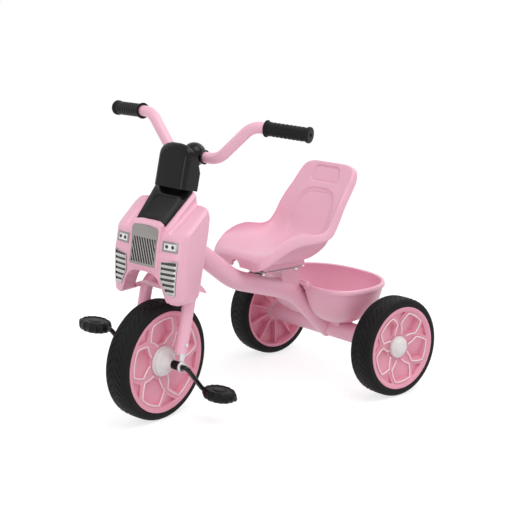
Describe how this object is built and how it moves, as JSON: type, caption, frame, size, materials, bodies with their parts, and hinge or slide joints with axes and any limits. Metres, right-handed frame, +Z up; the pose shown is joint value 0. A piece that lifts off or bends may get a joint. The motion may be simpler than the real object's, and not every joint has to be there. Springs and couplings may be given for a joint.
{
  "type": "children's tricycle",
  "caption": "Child's pedal tricycle with a toy car front, bucket seat on a bent tube frame, rear basket and foam tyred wheels.",
  "frame": {"origin": "middle of the footprint on the ground", "axes": "+Z up, +Y towards the rear of the tricycle, +X to its left side"},
  "size_m": [0.5164, 0.7202, 0.6347],
  "materials": {
    "pink_paint": "soft gloss paint over steel tube",
    "pink_plastic": "moulded, lightly glossy",
    "rim_pink": "moulded, lightly glossy",
    "tyre_black": "matt foam tyre with slanted grooves",
    "gloss_black": "high gloss",
    "grip_black": "satin moulded",
    "rod_black": "gloss black steel rod",
    "white_plastic": "moulded white",
    "silver_trim": "silver plated trim",
    "zinc_steel": "bright zinc plated",
    "red_plastic": "moulded red"
  },
  "bodies": {
    "frame": {"frame_spine": "pink_paint", "rear_axle_tube": "pink_paint", "head_tube": "pink_paint", "head_bush_lower": "grip_black", "head_bush_upper": "grip_black", "head_tube_collar": "red_plastic", "axle_bush_left": "grip_black", "axle_bush_right": "grip_black", "rear_axle_rod": "zinc_steel", "rear_axle_nut_left": "zinc_steel", "rear_axle_nut_right": "zinc_steel", "seat_bracket": "pink_paint", "seat_plate": "zinc_steel", "seat_bolt_1": "zinc_steel", "seat_bolt_2": "zinc_steel", "seat_bolt_3": "zinc_steel", "seat_bolt_4": "zinc_steel", "seat_shell": "pink_plastic", "basket_bracket": "pink_paint", "basket": "pink_plastic"},
    "steering": {"fork": "pink_paint", "steerer_tube": "pink_paint", "handlebar": "pink_paint", "grip_left": "grip_black", "grip_right": "grip_black", "bar_cover": "gloss_black", "cowl": "gloss_black", "hood_panel": "gloss_black", "car_front": "pink_plastic", "grille": "silver_trim", "headlight_left": "silver_trim", "headlight_right": "silver_trim", "vent_left": "silver_trim", "vent_right": "silver_trim", "mudguard": "pink_plastic", "axle_bracket_left": "zinc_steel", "axle_bracket_right": "zinc_steel", "bracket_screw_left": "zinc_steel", "bracket_screw_right": "zinc_steel"},
    "front_wheel": {"front_tyre": "tyre_black", "front_rim": "rim_pink", "front_hub_left": "white_plastic", "front_hub_right": "white_plastic", "axle_sleeve_left": "grip_black", "axle_sleeve_right": "grip_black", "crank": "rod_black"},
    "pedal_left": {"pedal_left": "grip_black"},
    "pedal_right": {"pedal_right": "grip_black"},
    "rear_wheel_left": {"rear_tyre_left": "tyre_black", "rear_rim_left": "rim_pink", "rear_hub_cap_left": "white_plastic"},
    "rear_wheel_right": {"rear_tyre_right": "tyre_black", "rear_rim_right": "rim_pink", "rear_hub_cap_right": "white_plastic"}
  },
  "joints": [
    {"name": "steering_turn", "type": "hinge", "parent": "frame", "child": "steering", "pos_m": [0.00518, -0.23392, 0.1257], "axis": [0, 0.2164, 0.9763], "range_deg": [-57, 33]},
    {"name": "front_wheel_spin", "type": "hinge", "parent": "steering", "child": "front_wheel", "pos_m": [0.00518, -0.23392, 0.1257], "axis": [0.9781, 0.203, -0.045], "continuous": true},
    {"name": "pedal_left_spin", "type": "hinge", "parent": "front_wheel", "child": "pedal_left", "pos_m": [0.11584, -0.15738, 0.06234], "axis": [0.9781, 0.203, -0.045], "continuous": true},
    {"name": "pedal_right_spin", "type": "hinge", "parent": "front_wheel", "child": "pedal_right", "pos_m": [-0.10548, -0.31047, 0.18907], "axis": [0.9781, 0.203, -0.045], "continuous": true},
    {"name": "rear_wheel_left_spin", "type": "hinge", "parent": "frame", "child": "rear_wheel_left", "pos_m": [0.21218, 0.25108, 0.1097], "axis": [1, 0, 0], "continuous": true},
    {"name": "rear_wheel_right_spin", "type": "hinge", "parent": "frame", "child": "rear_wheel_right", "pos_m": [-0.20182, 0.25108, 0.1097], "axis": [1, 0, 0], "continuous": true}
  ]
}
